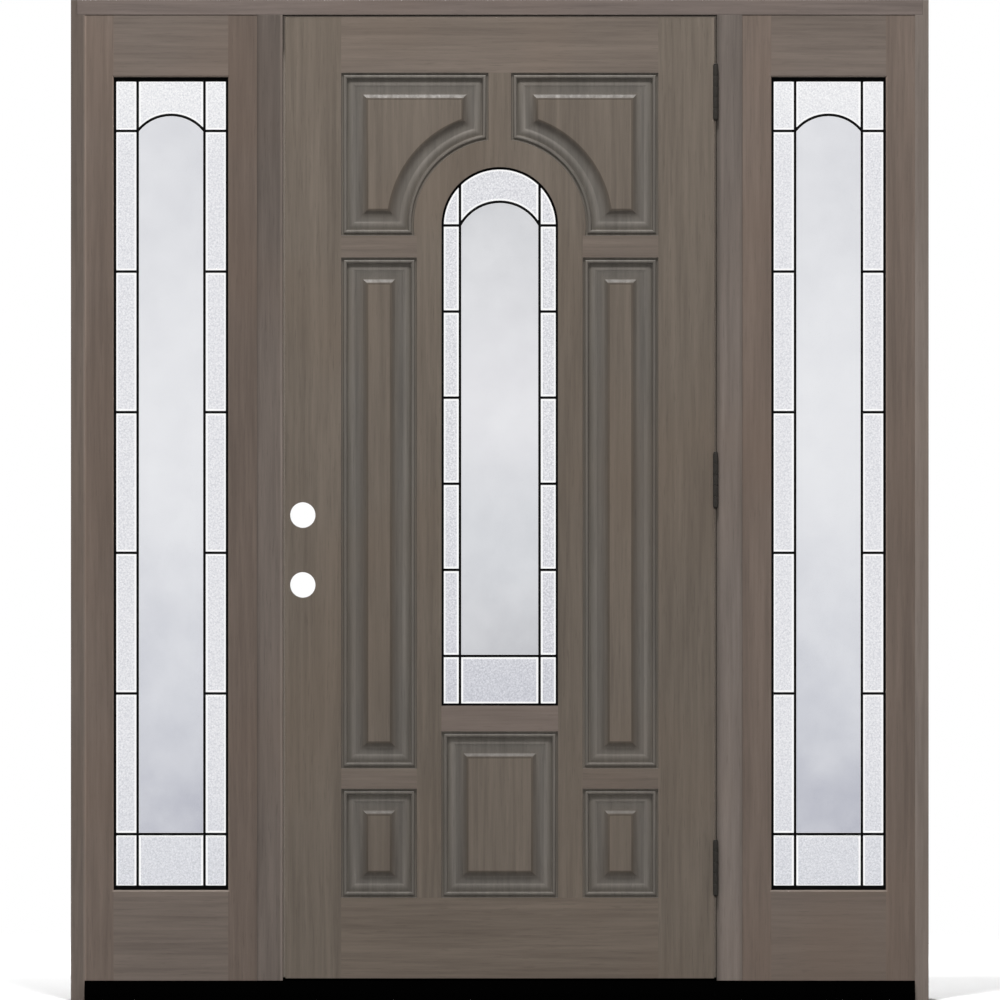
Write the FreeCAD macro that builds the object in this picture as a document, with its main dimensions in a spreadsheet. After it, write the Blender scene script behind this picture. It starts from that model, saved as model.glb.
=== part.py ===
import FreeCAD, Part
import math
import os
import Sketcher
from FreeCAD import Vector

# Entry door with two fixed sidelights in one frame, in millimetres.
# X runs to the right seen from outside, Y runs into the house, Z runs up.
# The origin lies under the middle of the sill.

document = FreeCAD.newDocument("entry_door")
sheet = document.addObject("Spreadsheet::Sheet", "Sizes")
nodes = {}


class Measure:
    """A length with its number and the expression that drives it."""

    def __init__(self, number, text):
        self.number = number
        self.text = text

    def __add__(self, other):
        other = measure(other)
        return Measure(self.number + other.number, f"({self.text} + {other.text})")

    def __radd__(self, other):
        return measure(other) + self

    def __sub__(self, other):
        other = measure(other)
        return Measure(self.number - other.number, f"({self.text} - {other.text})")

    def __rsub__(self, other):
        return measure(other) - self

    def __mul__(self, factor):
        return Measure(self.number * factor, f"({self.text} * {factor})")

    def __truediv__(self, divisor):
        return Measure(self.number / divisor, f"({self.text} / {divisor})")

    def __neg__(self):
        return Measure(-self.number, f"(0 - {self.text})")


def measure(value):
    if isinstance(value, Measure):
        return value
    return Measure(float(value), str(value))


def product(first, second):
    return Measure(first.number * second.number, f"({first.text} * {second.text})")


def quotient(first, second):
    return Measure(first.number / second.number, f"({first.text} / {second.text})")


def size(name, number):
    row = len(sheet.getUsedCells()) // 2 + 1
    sheet.set(f"A{row}", name)
    sheet.set(f"B{row}", str(number))
    sheet.setAlias(f"B{row}", name)
    return Measure(float(number), f"Sizes.{name}")


# Frame sizes
frame_depth = size("frame_depth", 116)
jamb_thickness = size("jamb_thickness", 29)
head_thickness = size("head_thickness", 32)
head_housing = size("head_housing", 16)
mullion_width = size("mullion_width", 54)
stop_height = size("stop_height", 13)
stop_gap = size("stop_gap", 10)
sill_height = size("sill_height", 42)
sill_nose_reach = size("sill_nose_reach", 12)
sill_nose_height = size("sill_nose_height", 16)
sill_bumper_rise = size("sill_bumper_rise", 16)
sill_bumper_depth = size("sill_bumper_depth", 24)
sill_inner_height = size("sill_inner_height", 30)
seal_width = size("seal_width", 10)
seal_depth = size("seal_depth", 6)
seal_round = size("seal_round", 2)
seal_seat = size("seal_seat", 1)

# Leaf sizes
leaf_width = size("leaf_width", 905)
leaf_height = size("leaf_height", 2028)
leaf_thickness = size("leaf_thickness", 44.5)
side_gap = size("side_gap", 5.5)
head_gap = size("head_gap", 5)
foot_gap = size("foot_gap", 5)
face_setback = size("face_setback", 1.5)
latch_bevel = size("latch_bevel", 2)
stile_width = size("stile_width", 118)
top_rail_height = size("top_rail_height", 117)
bottom_rail_height = size("bottom_rail_height", 170)
low_panel_height = size("low_panel_height", 230)
lower_cross_rail = size("lower_cross_rail", 43)
upper_cross_rail = size("upper_cross_rail", 46)
top_panel_height = size("top_panel_height", 344)
arch_crown_drop = size("arch_crown_drop", 140.5)
inner_stile_width = size("inner_stile_width", 52)
muntin_width = size("muntin_width", 48)
center_panel_height = size("center_panel_height", 351)
mid_rail_height = size("mid_rail_height", 54)
arch_ring_width = size("arch_ring_width", 58.5)

# Panel moulding sizes
quirk_width = size("quirk_width", 4.4)
quirk_depth = size("quirk_depth", 4.8)
bead_width = size("bead_width", 8.2)
bead_depth = size("bead_depth", 1.2)
groove_width = size("groove_width", 2.8)
groove_depth = size("groove_depth", 8.4)
band_width = size("band_width", 11.4)
band_depth = size("band_depth", 7.4)
band_slope = size("band_slope", 3.2)
floor_depth = size("floor_depth", 8.8)
raise_start = size("raise_start", 36.5)
raise_middle = size("raise_middle", 48)
raise_end = size("raise_end", 56.2)
raise_middle_rise = size("raise_middle_rise", 2.6)
field_depth = size("field_depth", 1.2)
tongue_reach = size("tongue_reach", 9)
tongue_thickness = size("tongue_thickness", 12)
groove_clearance = size("groove_clearance", 0.5)

# Leaded glass sizes
glass_width = size("glass_width", 246)
glass_lip = size("glass_lip", 12)
glass_thickness = size("glass_thickness", 6)
came_thickness = size("came_thickness", 10)
came_width = size("came_width", 5.5)
came_heart = size("came_heart", 1.6)
came_seat = size("came_seat", 10)
rebate_clearance = size("rebate_clearance", 1)
bead_round = size("bead_round", 7)
door_border_width = size("door_border_width", 5)
door_column_offset = size("door_column_offset", 84)
door_foot_piece = size("door_foot_piece", 105)
door_crown_rise = size("door_crown_rise", 50)

# Sidelight sizes
sidelight_width = size("sidelight_width", 364)
sidelight_stile = size("sidelight_stile", 61)
sidelight_top_rail = size("sidelight_top_rail", 131)
sidelight_bottom_rail = size("sidelight_bottom_rail", 191)
sidelight_chamfer = size("sidelight_chamfer", 3)
sidelight_chamfer_depth = size("sidelight_chamfer_depth", 2.5)
sidelight_border_width = size("sidelight_border_width", 5.5)
sidelight_border_height = size("sidelight_border_height", 9.5)
sidelight_column_offset = size("sidelight_column_offset", 70.5)
sidelight_foot_piece = size("sidelight_foot_piece", 118)
sidelight_top_piece = size("sidelight_top_piece", 113.5)
sidelight_crown_rise = size("sidelight_crown_rise", 34)

# Hinge and lock sizes
hinge_height = size("hinge_height", 114)
hinge_plate = size("hinge_plate", 2.5)
hinge_plate_depth = size("hinge_plate_depth", 36)
barrel_radius = size("barrel_radius", 5.8)
pin_radius = size("pin_radius", 2.75)
pin_clearance = size("pin_clearance", 0.2)
pin_offset = size("pin_offset", 9)
knuckle_gap = size("knuckle_gap", 0.4)
top_hinge_drop = size("top_hinge_drop", 158)
bottom_hinge_rise = size("bottom_hinge_rise", 233)
middle_hinge_rise = size("middle_hinge_rise", 1051)
lock_bore_radius = size("lock_bore_radius", 27)
latch_bore_radius = size("latch_bore_radius", 12.5)
lock_backset = size("lock_backset", 36.5)
lower_bore_rise = size("lower_bore_rise", 830)
bore_spacing = size("bore_spacing", 147.5)
document.recompute()

# How far a cutter runs past the face that it leaves
OVERRUN = 5

# Places that the pieces share
frame_front = -frame_depth / 2
frame_back = frame_depth / 2
leaf_front = frame_front + face_setback
leaf_back = leaf_front + leaf_thickness
leaf_middle = leaf_front + leaf_thickness / 2
stop_front = leaf_back + stop_gap
leaf_edge = leaf_width / 2
opening_edge = leaf_edge + side_gap
sidelight_inner = opening_edge + mullion_width
sidelight_outer = sidelight_inner + sidelight_width
frame_edge = sidelight_outer + jamb_thickness
leaf_bottom = sill_height + foot_gap
leaf_top = leaf_bottom + leaf_height
head_bottom = leaf_top + head_gap
head_top = head_bottom + head_thickness

# Places in the leaf
panel_outer = leaf_edge - stile_width
glass_half = glass_width / 2
panel_inner = glass_half + inner_stile_width
low_panel_bottom = leaf_bottom + bottom_rail_height
low_panel_top = low_panel_bottom + low_panel_height
tall_panel_bottom = low_panel_top + lower_cross_rail
top_panel_top = leaf_top - top_rail_height
top_panel_bottom = top_panel_top - top_panel_height
tall_panel_top = top_panel_bottom - upper_cross_rail
center_panel_top = low_panel_bottom + center_panel_height
glass_bottom = center_panel_top + mid_rail_height
arch_outer_radius = glass_half + arch_ring_width
glass_spring = top_panel_top - arch_crown_drop - arch_outer_radius
came_front = leaf_front + glass_lip
came_back = came_front + came_thickness


def bind(thing, links):
    for name, length in links.items():
        thing.setExpression(name, measure(length).text)


def finish(thing, label):
    thing.Label = label
    nodes[label] = thing
    return thing


def box(name, x_range, y_range, z_range):
    block = document.addObject("Part::Box", name)
    bind(block, {
        "Length": x_range[1] - x_range[0],
        "Width": y_range[1] - y_range[0],
        "Height": z_range[1] - z_range[0],
        "Placement.Base.x": x_range[0],
        "Placement.Base.y": y_range[0],
        "Placement.Base.z": z_range[0],
    })
    return block


TURNS = {
    "X": FreeCAD.Rotation(Vector(0, 1, 0), 90),
    "Y": FreeCAD.Rotation(Vector(1, 0, 0), -90),
    "Z": FreeCAD.Rotation(),
}


def cylinder(name, axis, radius, length, start):
    rod = document.addObject("Part::Cylinder", name)
    rod.Placement = FreeCAD.Placement(Vector(), TURNS[axis])
    bind(rod, {
        "Radius": radius,
        "Height": length,
        "Placement.Base.x": start[0],
        "Placement.Base.y": start[1],
        "Placement.Base.z": start[2],
    })
    return rod


def frustum(name, y_range, near, far):
    """A block along Y whose ends are two rectangles (x range, z range)."""
    wedge = document.addObject("Part::Wedge", name)
    bind(wedge, {
        "Ymin": y_range[0], "Ymax": y_range[1],
        "Xmin": near[0][0], "Xmax": near[0][1],
        "Zmin": near[1][0], "Zmax": near[1][1],
        "X2min": far[0][0], "X2max": far[0][1],
        "Z2min": far[1][0], "Z2max": far[1][1],
    })
    return wedge


def fuse(name, pieces):
    joined = document.addObject("Part::MultiFuse", name)
    joined.Shapes = pieces
    joined.Refine = True
    return joined


def common(name, pieces):
    shared = document.addObject("Part::MultiCommon", name)
    shared.Shapes = pieces
    return shared


def gather(name, pieces):
    group = document.addObject("Part::Compound", name)
    group.Links = pieces
    return group


def cut(name, base, tools):
    result = document.addObject("Part::Cut", name)
    result.Base = base
    result.Tool = tools[0] if len(tools) == 1 else fuse(name + "_tools", tools)
    return result


def mirror(source, label):
    twin = document.addObject("Part::Mirroring", label)
    twin.Source = source
    twin.Normal = Vector(1, 0, 0)
    return twin


def origin_plane(body, role):
    return next(item for item in body.Origin.OriginFeatures if item.Role == role)


def new_sketch(body, name, role, offset):
    sketch = body.newObject("Sketcher::SketchObject", name)
    sketch.AttachmentSupport = [(origin_plane(body, role), "")]
    sketch.MapMode = "FlatFace"
    sketch.AttachmentOffset = FreeCAD.Placement(Vector(0, 0, measure(offset).number), FreeCAD.Rotation())
    sketch.setExpression("AttachmentOffset.Base.z", measure(offset).text)
    return sketch


def hold(sketch, kind, geometry, length, point=None):
    """Fixes one coordinate of a point, or one radius, by an expression."""
    if point is None:
        index = sketch.addConstraint(Sketcher.Constraint(kind, geometry, length.number))
    else:
        index = sketch.addConstraint(Sketcher.Constraint(kind, geometry, point, length.number))
    sketch.setExpression(f"Constraints[{index}]", length.text)


def polygon(body, name, role, offset, points):
    sketch = new_sketch(body, name, role, offset)
    places = [Vector(measure(u).number, measure(v).number) for u, v in points]
    count = len(places)
    sketch.addGeometry([Part.LineSegment(places[i], places[(i + 1) % count]) for i in range(count)], False)
    for i in range(count):
        sketch.addConstraint(Sketcher.Constraint("Coincident", i, 2, (i + 1) % count, 1))
    for i, (u, v) in enumerate(points):
        hold(sketch, "DistanceX", i, measure(u), 1)
        hold(sketch, "DistanceY", i, measure(v), 1)
    return sketch


def pad(body, name, sketch, length, centred):
    feature = body.newObject("PartDesign::Pad", name)
    feature.Profile = sketch
    feature.Midplane = centred
    bind(feature, {"Length": length})
    return feature


# Raised panels
# Each panel is one board: a tongue in the grooves of the stiles and rails, a moulded
# border of quirk, bead, groove and band, and a raised field on both faces.

panel_half = leaf_thickness / 2


def panel_outline(body, name, sides, inset, depth, arched):
    outer, inner, bottom, top = sides
    left = outer + inset
    right = inner - inset
    floor = bottom + inset
    ceiling = top - inset
    if not arched:
        corners = [(left, floor), (left, ceiling), (right, ceiling), (right, floor)]
        return polygon(body, name, "XZ_Plane", depth, corners)
    sketch = new_sketch(body, name, "XZ_Plane", depth)
    radius = arch_outer_radius + inset
    middle = Vector(0, glass_spring.number)
    high = Vector(right.number, middle.y + math.sqrt(radius.number ** 2 - right.number ** 2))
    low = Vector(-math.sqrt(radius.number ** 2 - (floor.number - middle.y) ** 2), floor.number)
    corner_low = Vector(left.number, floor.number)
    corner_high = Vector(left.number, ceiling.number)
    corner_inner = Vector(right.number, ceiling.number)
    start = math.atan2(high.y - middle.y, high.x)
    end = math.atan2(low.y - middle.y, low.x) % (2 * math.pi)
    arc = Part.ArcOfCircle(Part.Circle(middle, Vector(0, 0, 1), radius.number), start, end)
    sketch.addGeometry([
        Part.LineSegment(corner_low, corner_high),
        Part.LineSegment(corner_high, corner_inner),
        Part.LineSegment(corner_inner, high),
        arc,
        Part.LineSegment(low, corner_low),
    ], False)
    for i in range(5):
        sketch.addConstraint(Sketcher.Constraint("Coincident", i, 2, (i + 1) % 5, 1))
    for i, kind in ((0, "Vertical"), (1, "Horizontal"), (2, "Vertical"), (4, "Horizontal")):
        sketch.addConstraint(Sketcher.Constraint(kind, i))
    hold(sketch, "DistanceX", 0, left, 1)
    hold(sketch, "DistanceY", 0, floor, 1)
    hold(sketch, "DistanceY", 0, ceiling, 2)
    hold(sketch, "DistanceX", 2, right, 1)
    hold(sketch, "DistanceX", 3, measure(0), 3)
    hold(sketch, "DistanceY", 3, glass_spring, 3)
    hold(sketch, "Radius", 3, radius)
    return sketch


def panel_groove(name, sides, arched):
    """The room that the panel's tongue takes out of the stiles and rails."""
    body = document.addObject("PartDesign::Body", name)
    bind(body, {"Placement.Base.y": leaf_middle})
    reach = measure(0) - tongue_reach - groove_clearance
    sketch = panel_outline(body, name + "_outline", sides, reach, 0, arched)
    pad(body, name + "_slot", sketch, tongue_thickness + groove_clearance, True)
    return body


def moulded_panel(label, sides, arched=False):
    outer, inner, bottom, top = sides
    body = document.addObject("PartDesign::Body", label)
    bind(body, {"Placement.Base.y": leaf_middle})
    tongue = panel_outline(body, label + "_tongue_outline", sides, -tongue_reach, 0, arched)
    pad(body, label + "_tongue", tongue, tongue_thickness, True)
    edge = panel_outline(body, label + "_edge", sides, measure(0), 0, arched)
    pad(body, label + "_board", edge, leaf_thickness - floor_depth * 2, True)
    document.recompute()

    bead_end = quirk_width + bead_width
    groove_end = bead_end + groove_width
    band_end = groove_end + band_width
    steps = [
        (measure(0), floor_depth),
        (measure(0), quirk_depth),
        (quirk_width, quirk_depth),
        (quirk_width + bead_width * 0.55, bead_depth),
        (bead_end, groove_depth),
        (groove_end, groove_depth),
        (groove_end + band_slope, band_depth),
        (band_end, band_depth),
        (band_end + band_slope, floor_depth),
    ]
    section = [(outer + inset, depth - panel_half) for inset, depth in steps]
    profile = polygon(body, label + "_section", "XY_Plane", (bottom + top) / 2, section)
    document.recompute()
    moulding = body.newObject("PartDesign::AdditivePipe", label + "_moulding")
    moulding.Profile = profile
    moulding.Spine = (edge, [f"Edge{i + 1}" for i in range(5 if arched else 4)])
    moulding.Transition = "Right corner"
    document.recompute()

    levels = [
        (raise_start, floor_depth),
        (raise_middle, floor_depth - raise_middle_rise),
        (raise_end, field_depth),
    ]
    rings = [
        panel_outline(body, f"{label}_raise_{i}", sides, inset, panel_half - depth, arched)
        for i, (inset, depth) in enumerate(levels)
    ]
    field = body.newObject("PartDesign::AdditiveLoft", label + "_field")
    field.Profile = rings[0]
    field.Sections = rings[1:]
    field.Ruled = True
    document.recompute()
    back = body.newObject("PartDesign::Mirrored", label + "_back")
    back.Originals = [moulding, field]
    back.MirrorPlane = (origin_plane(body, "XZ_Plane"), [""])
    body.Tip = back
    return body


top_sides = (-panel_outer, -muntin_width / 2, top_panel_bottom, top_panel_top)
tall_sides = (-panel_outer, -panel_inner, tall_panel_bottom, tall_panel_top)
low_sides = (-panel_outer, -panel_inner, low_panel_bottom, low_panel_top)
center_sides = (-glass_half, glass_half, low_panel_bottom, center_panel_top)

panels = []
left_grooves = []
right_grooves = []
for name, sides, arched in (
    ("top", top_sides, True),
    ("tall", tall_sides, False),
    ("low", low_sides, False),
):
    panel = moulded_panel(f"panel_{name}_left", sides, arched)
    panels += [panel, mirror(panel, f"panel_{name}_right")]
    groove = panel_groove(f"groove_{name}_left", sides, arched)
    left_grooves.append(groove)
    right_grooves.append(mirror(groove, f"groove_{name}_right"))
panels.append(moulded_panel("panel_center", center_sides))
finish(gather("door_panels", panels), "door_panels")
center_groove = panel_groove("groove_center", center_sides, False)
document.recompute()

# Leaf frame
# Two outer stiles run full height; rails, inner stiles and the arched rail meet them edge to edge.

leaf_depth = (leaf_front, leaf_back)
leaf_rise = (leaf_bottom, leaf_top)


def arched_block(name, half, bottom, depth, grow):
    """A block with a round head, as wide as the glass plus a margin all round."""
    width = half + grow
    legs = box(name + "_legs", (-width, width), depth, (bottom - grow, glass_spring))
    crown = cylinder(name + "_crown", "Y", width, depth[1] - depth[0],
                     (measure(0), depth[0], glass_spring))
    return fuse(name, [legs, crown])


sight = arched_block("door_sight", glass_half, glass_bottom, (leaf_front - OVERRUN, leaf_back + OVERRUN), measure(0))
seat_reach = came_seat + rebate_clearance
rebate = arched_block("door_rebate", glass_half, glass_bottom, (came_front, leaf_back + OVERRUN), seat_reach)

hinge_heights = {
    "top": leaf_top - top_hinge_drop,
    "middle": leaf_bottom + middle_hinge_rise,
    "bottom": leaf_bottom + bottom_hinge_rise,
}
plate_back = leaf_front + hinge_plate_depth
leaf_mortises = []
frame_mortises = []
for name, middle in hinge_heights.items():
    span = (middle - hinge_height / 2, middle + hinge_height / 2)
    leaf_mortises.append(box(f"leaf_mortise_{name}", (leaf_edge - hinge_plate, leaf_edge),
                             (leaf_front, plate_back), span))
    frame_mortises.append(box(f"frame_mortise_{name}", (opening_edge, opening_edge + hinge_plate),
                              (frame_front, plate_back), span))

hinge_board = box("hinge_stile_board", (panel_outer, leaf_edge), leaf_depth, leaf_rise)
finish(cut("door_hinge_stile", hinge_board, right_grooves + leaf_mortises), "door_hinge_stile")

latch_body = document.addObject("PartDesign::Body", "latch_stile_board")
latch_plan = polygon(latch_body, "latch_stile_plan", "XY_Plane", leaf_bottom, [
    (-leaf_edge, leaf_front),
    (-panel_outer, leaf_front),
    (-panel_outer, leaf_back),
    (latch_bevel - leaf_edge, leaf_back),
])
pad(latch_body, "latch_stile_length", latch_plan, leaf_height, False)
bore_x = lock_backset - leaf_edge
lock_bores = []
for name, rise in (("lower", lower_bore_rise), ("upper", lower_bore_rise + bore_spacing)):
    height = leaf_bottom + rise
    lock_bores.append(cylinder(f"lock_bore_{name}", "Y", lock_bore_radius, leaf_thickness + OVERRUN * 2,
                               (bore_x, leaf_front - OVERRUN, height)))
    lock_bores.append(cylinder(f"latch_bore_{name}", "X", latch_bore_radius, lock_backset + OVERRUN,
                               (-leaf_edge - OVERRUN, leaf_middle, height)))
finish(cut("door_latch_stile", latch_body, left_grooves + lock_bores), "door_latch_stile")

top_board = box("top_rail_board", (-panel_outer, panel_outer), leaf_depth, (top_panel_top, leaf_top))
finish(cut("door_top_rail", top_board, [left_grooves[0], right_grooves[0]]), "door_top_rail")

bottom_board = box("bottom_rail_board", (-panel_outer, panel_outer), leaf_depth,
                   (leaf_bottom, low_panel_bottom))
finish(cut("door_bottom_rail", bottom_board, [left_grooves[2], right_grooves[2], center_groove]),
       "door_bottom_rail")

mid_board = box("mid_rail_board", (-glass_half, glass_half), leaf_depth, (center_panel_top, glass_bottom))
finish(cut("door_mid_rail", mid_board, [rebate, center_groove]), "door_mid_rail")

inner_stiles = []
upper_rails = []
lower_rails = []
for side, grooves in (("left", left_grooves), ("right", right_grooves)):
    near = -panel_inner if side == "left" else glass_half
    far = -glass_half if side == "left" else panel_inner
    board = box(f"inner_stile_board_{side}", (near, far), leaf_depth, (low_panel_bottom, top_panel_bottom))
    inner_stiles.append(cut(f"inner_stile_{side}", board, grooves + [rebate, center_groove]))
    start = -panel_outer if side == "left" else panel_inner
    end = -panel_inner if side == "left" else panel_outer
    upper = box(f"upper_rail_board_{side}", (start, end), leaf_depth, (tall_panel_top, top_panel_bottom))
    upper_rails.append(cut(f"upper_rail_{side}", upper, grooves[:2]))
    lower = box(f"lower_rail_board_{side}", (start, end), leaf_depth, (low_panel_top, tall_panel_bottom))
    lower_rails.append(cut(f"lower_rail_{side}", lower, grooves[1:]))
finish(gather("door_inner_stiles", inner_stiles), "door_inner_stiles")
finish(gather("door_cross_rails", upper_rails + lower_rails), "door_cross_rails")

arch_disc = cylinder("arch_disc", "Y", arch_outer_radius, leaf_thickness,
                     (measure(0), leaf_front, glass_spring))
muntin_board = box("muntin_board", (-muntin_width / 2, muntin_width / 2), leaf_depth,
                   (glass_spring, top_panel_top))
below_arch = box("below_arch", (-panel_outer, panel_outer), (leaf_front - OVERRUN, leaf_back + OVERRUN),
                 (glass_bottom, top_panel_bottom))
arch_board = fuse("arch_rail_board", [arch_disc, muntin_board])
finish(cut("door_arch_rail", arch_board,
           [sight, rebate, below_arch, left_grooves[0], right_grooves[0]]), "door_arch_rail")


# Glazing beads
# A moulded strip that holds the leaded glass in its rebate from inside, swept round the light.


def light_outline(body, name, middle, half, bottom, top, arched):
    left = middle - half
    right = middle + half
    if not arched:
        corners = [(left, bottom), (left, top), (right, top), (right, bottom)]
        return polygon(body, name, "XZ_Plane", 0, corners)
    sketch = new_sketch(body, name, "XZ_Plane", 0)
    foot_left = Vector(left.number, bottom.number)
    foot_right = Vector(right.number, bottom.number)
    spring_left = Vector(left.number, glass_spring.number)
    spring_right = Vector(right.number, glass_spring.number)
    circle = Part.Circle(Vector(middle.number, glass_spring.number), Vector(0, 0, 1), half.number)
    sketch.addGeometry([
        Part.LineSegment(foot_right, spring_right),
        Part.ArcOfCircle(circle, 0, math.pi),
        Part.LineSegment(spring_left, foot_left),
        Part.LineSegment(foot_left, foot_right),
    ], False)
    for i in range(4):
        sketch.addConstraint(Sketcher.Constraint("Coincident", i, 2, (i + 1) % 4, 1))
    hold(sketch, "DistanceX", 0, right, 1)
    hold(sketch, "DistanceY", 0, bottom, 1)
    hold(sketch, "DistanceX", 0, right, 2)
    hold(sketch, "DistanceY", 0, glass_spring, 2)
    hold(sketch, "DistanceX", 2, left, 1)
    hold(sketch, "DistanceY", 2, glass_spring, 1)
    hold(sketch, "DistanceX", 3, left, 1)
    hold(sketch, "DistanceY", 3, bottom, 1)
    hold(sketch, "DistanceY", 1, glass_spring, 3)
    return sketch


def glazing_bead(label, middle, half, bottom, top, arched):
    body = document.addObject("PartDesign::Body", label)
    path = light_outline(body, label + "_path", middle, half, bottom, top, arched)
    edge = middle - half
    section = polygon(body, label + "_section", "XY_Plane", (bottom + glass_spring) / 2, [
        (edge, came_back),
        (edge, leaf_back - bead_round),
        (edge - bead_round * 0.3, leaf_back - bead_round * 0.3),
        (edge - bead_round, leaf_back),
        (edge - seat_reach, leaf_back),
        (edge - seat_reach, came_back),
    ])
    document.recompute()
    strip = body.newObject("PartDesign::AdditivePipe", label + "_strip")
    strip.Profile = section
    strip.Spine = (path, ["Edge1", "Edge2", "Edge3", "Edge4"])
    strip.Transition = "Right corner"
    return finish(body, label)


glazing_bead("door_glazing_bead", measure(0), glass_half, glass_bottom, glass_spring, True)

# Leaded glass
# A border of textured panes round one clear pane, seated in cames of H section.


def leaded_light(prefix, middle, half, bottom, top, border, column, rows, crown_rise, arched):
    """Builds panes and cames; border is the rim that shows at the sides and at the ends,
    rows are the heights of the cross cames, the lowest first."""
    side_rim, end_rim = border
    came_depth = (came_front, came_back)
    glass_front = came_front + (came_thickness - glass_thickness) / 2
    glass_depth = (glass_front, glass_front + glass_thickness)
    spring = rows[-1]
    heart = came_heart / 2
    flange = came_width / 2
    chord = column
    radius = quotient(product(chord, chord) + product(crown_rise, crown_rise), crown_rise * 2)
    hub = spring + crown_rise - radius

    def outline(name, depth, side_grow, end_grow):
        if arched:
            return arched_block(name, half, bottom, depth, side_grow)
        return box(name, (middle - half - side_grow, middle + half + side_grow), depth,
                   (bottom - end_grow, top + end_grow))

    def arched_core(name, depth, grow):
        """The clear pane's outline: a straight body under a shallow arch."""
        body = box(name + "_body", (middle - chord - grow, middle + chord + grow), depth,
                   (rows[0] - grow, spring + crown_rise + grow))
        disc = cylinder(name + "_disc", "Y", radius + grow, depth[1] - depth[0],
                        (middle, depth[0], hub))
        under = box(name + "_under", (middle - radius - grow, middle + radius + grow), depth,
                    (rows[0] - grow, hub))
        return common(name, [body, fuse(name + "_round", [disc, under])])

    clear = finish(arched_core(prefix + "_center_pane", glass_depth, -heart), prefix + "_center_pane")
    gaps = [arched_core(prefix + "_center_room", glass_depth, heart)]
    bars = []
    for number, place in enumerate((middle - column, middle + column)):
        gaps.append(box(f"{prefix}_column_gap_{number}", (place - heart, place + heart), glass_depth,
                        (bottom - came_seat, top + came_seat)))
        bars.append(box(f"{prefix}_column_{number}", (place - flange, place + flange), came_depth,
                        (bottom - came_seat, top + came_seat)))
    for number, height in enumerate(rows):
        gaps.append(box(f"{prefix}_row_gap_{number}", (middle - half - came_seat, middle + half + came_seat),
                        glass_depth, (height - heart, height + heart)))
        spans = [(middle - half - came_seat, middle - column), (middle + column, middle + half + came_seat)]
        if number == 0:
            spans = [(spans[0][0], spans[1][1])]
        for part, span in enumerate(spans):
            bars.append(box(f"{prefix}_row_{number}_{part}", span, came_depth,
                            (height - flange, height + flange)))
    arc_outer = arched_core(prefix + "_arc_outer", came_depth, flange)
    arc_inner = arched_core(prefix + "_arc_inner", came_depth, -flange)
    above = box(prefix + "_arc_zone", (middle - column - flange, middle + column + flange), came_depth,
                (spring - flange, spring + crown_rise + flange))
    bars.append(common(prefix + "_arc", [cut(prefix + "_arc_ring", arc_outer, [arc_inner]), above]))

    panes = outline(prefix + "_glass_sheet", glass_depth, -side_rim / 2, -end_rim / 2)
    finish(cut(prefix + "_border_panes", panes, gaps), prefix + "_border_panes")
    rim = outline(prefix + "_rim", came_depth, came_seat, came_seat)
    rim_room = outline(prefix + "_rim_room", came_depth, -side_rim, -end_rim)
    bars.append(cut(prefix + "_rim_ring", rim, [rim_room]))
    lattice = common(prefix + "_lattice", [fuse(prefix + "_bars", bars),
                                           outline(prefix + "_limit", came_depth, came_seat, came_seat)])
    finish(cut(prefix + "_came", lattice, [gather(prefix + "_glass", [clear, nodes[prefix + "_border_panes"]])]),
           prefix + "_came")


ROW_COUNT = 5
door_first_row = glass_bottom + door_foot_piece
door_row_pitch = (glass_spring - door_first_row) / ROW_COUNT
door_rows = [door_first_row + door_row_pitch * i for i in range(ROW_COUNT + 1)]
leaded_light("door", measure(0), glass_half, glass_bottom, glass_spring + glass_half,
             (door_border_width, door_border_width), door_column_offset, door_rows, door_crown_rise, True)

# Sidelights
# A fixed panel of two stiles and two rails round a leaded light, held in the frame's rabbet.

side_middle = -(sidelight_inner + sidelight_width / 2)
side_half = sidelight_width / 2 - sidelight_stile
side_bottom = sill_height + sidelight_bottom_rail
side_top = head_bottom - sidelight_top_rail
side_sight_x = (side_middle - side_half, side_middle + side_half)
side_sight = box("side_sight", side_sight_x, (leaf_front - OVERRUN, leaf_back + OVERRUN), (side_bottom, side_top))
side_rebate = box("side_rebate", (side_sight_x[0] - seat_reach, side_sight_x[1] + seat_reach),
                  (came_front, leaf_back + OVERRUN), (side_bottom - seat_reach, side_top + seat_reach))
side_funnel = frustum(
    "side_funnel", (leaf_front, leaf_front + sidelight_chamfer_depth),
    ((side_sight_x[0] - sidelight_chamfer, side_sight_x[1] + sidelight_chamfer),
     (side_bottom - sidelight_chamfer, side_top + sidelight_chamfer)),
    (side_sight_x, (side_bottom, side_top)))

side_stile_boards = [
    ("outer", (-sidelight_outer, side_sight_x[0])),
    ("inner", (side_sight_x[1], -sidelight_inner)),
]
side_stiles = [
    cut(f"side_stile_{name}", box(f"side_stile_board_{name}", span, leaf_depth, (sill_height, head_bottom)),
        [side_rebate, side_funnel])
    for name, span in side_stile_boards
]
finish(gather("sidelight_left_stiles", side_stiles), "sidelight_left_stiles")
side_rail_boards = [
    ("bottom", (sill_height, side_bottom)),
    ("top", (side_top, head_bottom)),
]
side_rails = [
    cut(f"side_rail_{name}", box(f"side_rail_board_{name}", side_sight_x, leaf_depth, span),
        [side_rebate, side_funnel])
    for name, span in side_rail_boards
]
finish(gather("sidelight_left_rails", side_rails), "sidelight_left_rails")
glazing_bead("sidelight_left_glazing_bead", side_middle, side_half, side_bottom, side_top, False)
side_first_row = side_bottom + sidelight_foot_piece
side_row_pitch = (side_top - sidelight_top_piece - side_first_row) / ROW_COUNT
side_rows = [side_first_row + side_row_pitch * i for i in range(ROW_COUNT + 1)]
leaded_light("sidelight_left", side_middle, side_half, side_bottom, side_top,
             (sidelight_border_width, sidelight_border_height), sidelight_column_offset, side_rows,
             sidelight_crown_rise, False)
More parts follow.
